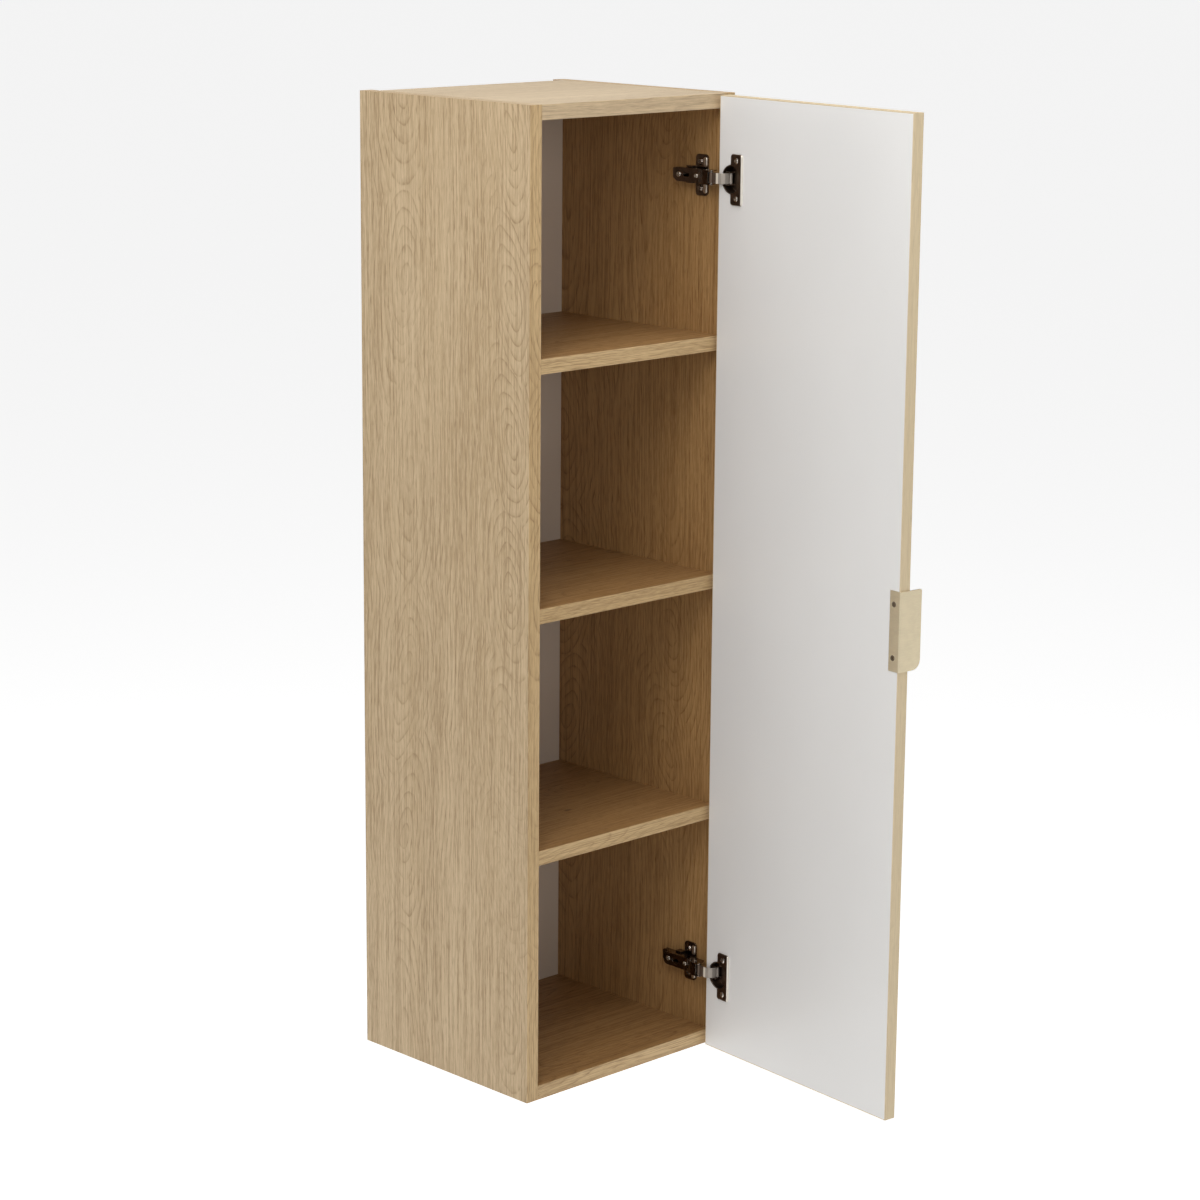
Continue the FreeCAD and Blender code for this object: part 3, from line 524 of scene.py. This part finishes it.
def metal(name, colour, rough, brushed=METAL_GRAIN_SCALE, spread=0.10, worn=None, edge=0.00025,
          mottle=0.78, painted_highlight=None, dark_root=None):
    """Plated or brushed metal. brushed is the scale of its finest grain, spread the range of its
    roughness, worn the colour of its rubbed edges, edge the radius of its softened edges and
    mottle how dark its stains are. Of its two masks, the first marks places on raised parts where a
    highlight is painted in a pale colour, the other, dark_root, what is plated black."""
    material, g, shader = surface(name, Metallic=1.0)
    place = g.place()
    fine = g.noise(place, brushed, detail=3.0)
    stain = g.noise(place, **METAL_STAIN)
    tint = g.mix(g.fade(stain, *METAL_STAIN_RANGE), scaled(colour, mottle), colour)
    tint = g.mix(g.fade(fine, *METAL_GLINT_SHOW), tint, scaled(colour, METAL_GLINT))
    soft = g.add("Bevel", {"Radius": edge}, samples=BEVEL_SAMPLES).outputs[0]
    if worn is not None:
        flat = g.add("NewGeometry").outputs["Normal"]
        match = g.vector_math("DOT_PRODUCT", soft, flat)["Value"]
        wear = g.math("MULTIPLY", g.fade(match, *WEAR_BY_EDGE), g.fade(stain, *WEAR_BY_STAIN))
        tint = g.mix(wear, tint, worn)
    sheen = g.fade(fine, *METAL_SHEEN_RANGE, rough - spread / 2, rough + spread / 2)
    # Painted highlight: the masked places are mixed toward a pale colour and made rougher, standing
    # in for light caught on raised edges.
    if painted_highlight is not None:
        mask = painted_highlight(g)
        tint = g.mix(g.math("MULTIPLY", mask, PAINTED_HIGHLIGHT_SHARE), tint, PAINTED_HIGHLIGHT_COLOUR)
        sheen = g.math("MULTIPLY_ADD", mask, PAINTED_HIGHLIGHT_ROUGHER, sheen)
    if dark_root is not None:
        tint = g.mix(dark_root(g), tint, BLACK_NICKEL)
    dress(g, shader, tint, sheen, g.bump(fine, METAL_RELIEF, METAL_RELIEF_STRENGTH, soft))
    return material


def paint(material, *names):
    """Gives CAD nodes a finish, in all their material slots."""
    for name in names:
        slots = nodes[name].data.materials
        for index in range(len(slots)):
            slots[index] = material


# ---------------------------------------------------------------- carcass

raw_side = beyond("Y", side_rear - REAR_SKIN)
raw_board_rear = beyond("Y", board_rear - REAR_SKIN)

# The boards' faces inside the cabinet, the shelves and the bottom carry painted shade, darker and
# browner than the outer faces.
paint(oak("oak_left_side", "Z", (0.2995, 0.0, 3.1), inner_face("X", left_inner_x), raw_side),
      "left_side_panel")
paint(oak("oak_right_side", "Z", (1.3965, 0.3, 7.7), inner_face("X", right_inner_x, -1.0),
          raw_side),
      "right_side_panel")
# The top's colours are drawn a fifth of the way to a pale, greyer tint: a painted sheen for the
# light the top reflects at a grazing angle.
paint(oak("oak_top", "X", (0.9, 0.2, 2.4), inner_face("Z", ceiling, -1.0), raw_board_rear,
          tint=(0.80, 0.74, 0.62), share=0.20),
      "top_panel")
paint(oak("oak_bottom", "X", (1.8, 0.6, 5.3), inner_face("Z", deck), raw_board_rear,
          shade=LEVEL_PAINTED_SHADE),
      "bottom_panel")
for count, level in enumerate(("lower", "middle", "upper")):
    shift = (2.3 + 0.77 * count, 0.4 * count, 1.9 * count)
    paint(oak("oak_shelf_" + level, "X", shift, behind_band, raw_board_rear, shade=LEVEL_PAINTED_SHADE),
          "shelf_" + level)
# The white back panel is given a dim beige: painted shade of the interior, warmed as by light
# bounced off the oak.
paint(white_lacquer("white_back_panel", (0.71, 0.61, 0.51), beyond("Y", back_rear - REAR_SKIN)),
      "back_panel")
paint(raw_board(), "hanging_rail_lower", "hanging_rail_upper")
paint(beech(), "wood_dowels", "rail_dowels")

# ---------------------------------------------------------------- door

paint(white_lacquer("white_door", (0.86, 0.85, 0.83)), "door_panel")
paint(oak("oak_door_front", "Z", (3.9, 0.7, 0.45), banded=False), "door_facing")
paint(oak("oak_door_edges", "Z", (5.2, 1.2, 2.0), banded=False, tint=(0.82, 0.69, 0.46),
          share=0.60),
      "door_edge_bands")

# ---------------------------------------------------------------- pull and fittings

champagne = metal("champagne_brushed", (0.88, 0.755, 0.53), 0.38, (120.0, 120.0, 1500.0),
                  worn=(0.92, 0.84, 0.68), mottle=0.95)
handle_screw = metal("handle_screw", (0.30, 0.24, 0.17), 0.30, worn=(0.62, 0.53, 0.40),
                     edge=0.0002)
zinc = metal("zinc_casting", (0.58, 0.57, 0.55), 0.38, spread=0.16, worn=(0.75, 0.74, 0.72))
plated = metal("zinc_plated_steel", (0.62, 0.61, 0.56), 0.30, spread=0.12)

paint(champagne, "edge_pull")
paint(handle_screw, "edge_pull_screws")
paint(zinc, "cam_locks")
paint(plated, "cam_bolts", "back_screws")

# ---------------------------------------------------------------- hinges

# The ribs on a plate's two wings, where a pale highlight is painted: how they stand off the side,
# how far back they lie, and how far above or below the rail between the wings they start.
RIB_STAND = 0.0028
RIB_FRONT = 0.024
RIB_REAR = 0.031
RIB_CLEARANCE = (0.0084, 0.0086)

CUP_RIM_HIGHLIGHT = 0.0018  # depth of the painted highlight along the rolled rim at the far edge of a cup's flange

# The long link from the arm outwards: black root, satin length, and between them a strip with a
# painted highlight, standing in for light on its bend.
LINK_ROOT = 0.0078
LINK_PAINTED_HIGHLIGHT = 0.0110

PLATING_EDGE = 0.0003


def wing_ribs(plate):
    """Mask of the raised ribs on the two wings of a hinge plate, where a pale highlight is painted.
    """
    low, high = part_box(plate)

    def clear_of_rail(g):
        rise = g.math("SUBTRACT", g.split(g.place())[2], (low.z + high.z) / 2)
        return g.fade(g.math("ABSOLUTE", rise), *RIB_CLEARANCE)
    return both(beyond("X", right_inner_x - RIB_STAND, -1.0), beyond("Y", front + RIB_FRONT),
                beyond("Y", front + RIB_REAR, -1.0), clear_of_rail)


def rim_highlight(cup):
    """Mask of the cup flange's far edge, where a pale highlight is painted."""
    return beyond("Y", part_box(cup)[0].y + CUP_RIM_HIGHLIGHT, -1.0)


def dark_nickel(name, painted_highlight=None, rough=0.16):
    """Black nickel plating, rubbed through at the edges."""
    return metal(name, BLACK_NICKEL, rough, worn=(0.62, 0.54, 0.45), edge=PLATING_EDGE,
                 painted_highlight=painted_highlight)


link_nickel = metal("satin_nickel_link", (0.50, 0.452, 0.40), 0.70, (220.0, 220.0, 1300.0),
                    worn=(0.92, 0.89, 0.84), edge=PLATING_EDGE, mottle=0.92,
                    painted_highlight=both(beyond("Y", front - LINK_PAINTED_HIGHLIGHT),
                                  beyond("Y", front - LINK_ROOT, -1.0)),
                    dark_root=beyond("Y", front - LINK_ROOT))
dark_screw = metal("dark_screw", (0.30, 0.25, 0.21), 0.16, spread=0.08, worn=(0.75, 0.70, 0.62),
                   edge=0.0002)
bright_screw = metal("bright_screw", (0.62, 0.57, 0.50), 0.18, spread=0.08,
                     worn=(0.88, 0.84, 0.78), edge=0.0002)
pin_steel = metal("pin_steel", (0.56, 0.54, 0.51), 0.22, spread=0.08)
spring_steel = metal("spring_steel", (0.42, 0.40, 0.38), 0.26, spread=0.08)

for level in ("upper", "lower"):
    plate, cup = level + "_hinge_plate", level + "_hinge_cup"
    # Painted highlights: pale strips on the plates' wing ribs and along the cups' far rims.
    paint(dark_nickel("plate_nickel_" + level, wing_ribs(plate)), plate)
    paint(dark_nickel("cup_nickel_" + level, rim_highlight(cup), 0.34), cup)
    paint(dark_nickel("arm_nickel_" + level), level + "_hinge_arm")
    paint(dark_screw, level + "_plate_screws")
    paint(bright_screw, level + "_arm_screws", level + "_cup_screws")
    paint(link_nickel, level + "_inner_link", level + "_outer_link")
    paint(pin_steel, level + "_arm_pins", level + "_cup_pins")
    paint(spring_steel, level + "_closing_spring")
    paint(plastic("damper_" + level, (0.055, 0.048, 0.042)), level + "_damper")

# ---------------------------------------------------------------- floor

FLOOR_DROP = 0.55  # how far the floor lies below the cabinet
FLOOR_HALF_WIDTH = 45.0
FLOOR_ROUGH = 0.9
FLOOR_CLOUD_SCALE = 0.8
FLOOR_DARK = (0.93, 0.93, 0.93)
FLOOR_LIGHT = (0.95, 0.95, 0.95)
FLOOR_DIAGONAL = 0.7  # each axis's share of the way from the front left to the rear right
FLOOR_GLOW = (-1.5, 0.9, 0.38, 0.77)  # how it glows along that way, brighter behind the cabinet

floor_z = cad_box[0][2] - FLOOR_DROP
corners = [(x * FLOOR_HALF_WIDTH, y * FLOOR_HALF_WIDTH, floor_z)
           for x, y in ((-1, -1), (1, -1), (1, 1), (-1, 1))]
floor_mesh = bpy.data.meshes.new("floor")
floor_mesh.from_pydata(corners, [], [(0, 1, 2, 3)])
floor = bpy.data.objects.new("floor", floor_mesh)
bpy.context.scene.collection.objects.link(floor)
pale, g, shader = surface("pale_floor", Roughness=FLOOR_ROUGH, Specular_IOR_Level=0.0,
                          Emission_Color=(1.0, 1.0, 1.0, 1.0))
cloud = g.noise(g.place(), FLOOR_CLOUD_SCALE)
g.put(shader.inputs["Base Color"], g.mix(cloud, FLOOR_DARK, FLOOR_LIGHT))
floor_x, floor_y, _ = g.split(g.place())
rearward = g.math("ADD", g.math("MULTIPLY", floor_x, FLOOR_DIAGONAL),
                  g.math("MULTIPLY", floor_y, FLOOR_DIAGONAL))
g.put(shader.inputs["Emission Strength"], g.fade(rearward, *FLOOR_GLOW))
floor_mesh.materials.append(pale)

# ---------------------------------------------------------------- studio light

SKY_GLOW = (0.12, 0.34, 0.80, 0.10)  # by the height looked at: a bright horizon, a dim ceiling

world = bpy.data.worlds.new("studio")
world.use_nodes = True
backdrop = world.node_tree.nodes["Background"]
backdrop.inputs["Color"].default_value = (1.0, 1.0, 1.0, 1.0)
g = Graph(world.node_tree)
rise = g.split(g.add("TexCoord").outputs["Generated"])[2]
g.put(backdrop.inputs["Strength"], g.fade(rise, *SKY_GLOW))
bpy.context.scene.world = world
bpy.context.scene.view_settings.view_transform = "Standard"


def softbox(name, place, aim, width, height, power):
    light = bpy.data.lights.new(name, "AREA")
    light.shape = "RECTANGLE"
    light.size = width
    light.size_y = height
    light.energy = power
    lamp = bpy.data.objects.new(name, light)
    lamp.location = place
    lamp.rotation_euler = (Vector(aim) - Vector(place)).to_track_quat("-Z", "Y").to_euler()
    bpy.context.scene.collection.objects.link(lamp)


softbox("top_softbox", place=(-0.2, -0.5, 1.9), aim=(0.0, -0.2, -0.2), width=2.4, height=2.4,
        power=50.0)
softbox("key_softbox", place=(-1.9, -1.5, 1.5), aim=(0.0, -0.2, 0.15), width=1.5, height=1.5,
        power=30.0)
softbox("strip_light", place=(-1.6, -3.4, 0.6), aim=(0.0, -0.2, 0.0), width=0.16, height=1.1,
        power=8.0)

# ---------------------------------------------------------------- camera

CAMERA_PLACE = (-2.7255, -3.0552, 0.3402)
CAMERA_HEADING = 44.142  # degrees to the right of straight at the wall
CAMERA_DIP = 12.793  # degrees below level
CAMERA_ROLL = 0.479  # degrees about its line of sight
FOCAL_LENGTH_MM = 98.85
SENSOR_WIDTH_MM = 36.0
CLIP_END = 200.0

heading = math.radians(CAMERA_HEADING)
dip = math.radians(CAMERA_DIP)
roll = math.radians(CAMERA_ROLL)
ahead = Vector((math.sin(heading) * math.cos(dip), math.cos(heading) * math.cos(dip),
                -math.sin(dip)))
aside = Vector((math.cos(heading), -math.sin(heading), 0.0))
upward = aside.cross(ahead)
tilt_aside = aside * math.cos(roll) + upward * math.sin(roll)
tilt_up = upward * math.cos(roll) - aside * math.sin(roll)
turn = Matrix((tilt_aside, tilt_up, -ahead)).transposed()
lens = bpy.data.cameras.new("camera")
lens.lens = FOCAL_LENGTH_MM
lens.sensor_width = SENSOR_WIDTH_MM
lens.clip_end = CLIP_END
camera = bpy.data.objects.new("camera", lens)
camera.matrix_world = Matrix.Translation(CAMERA_PLACE) @ turn.to_4x4()
bpy.context.scene.collection.objects.link(camera)
bpy.context.scene.camera = camera
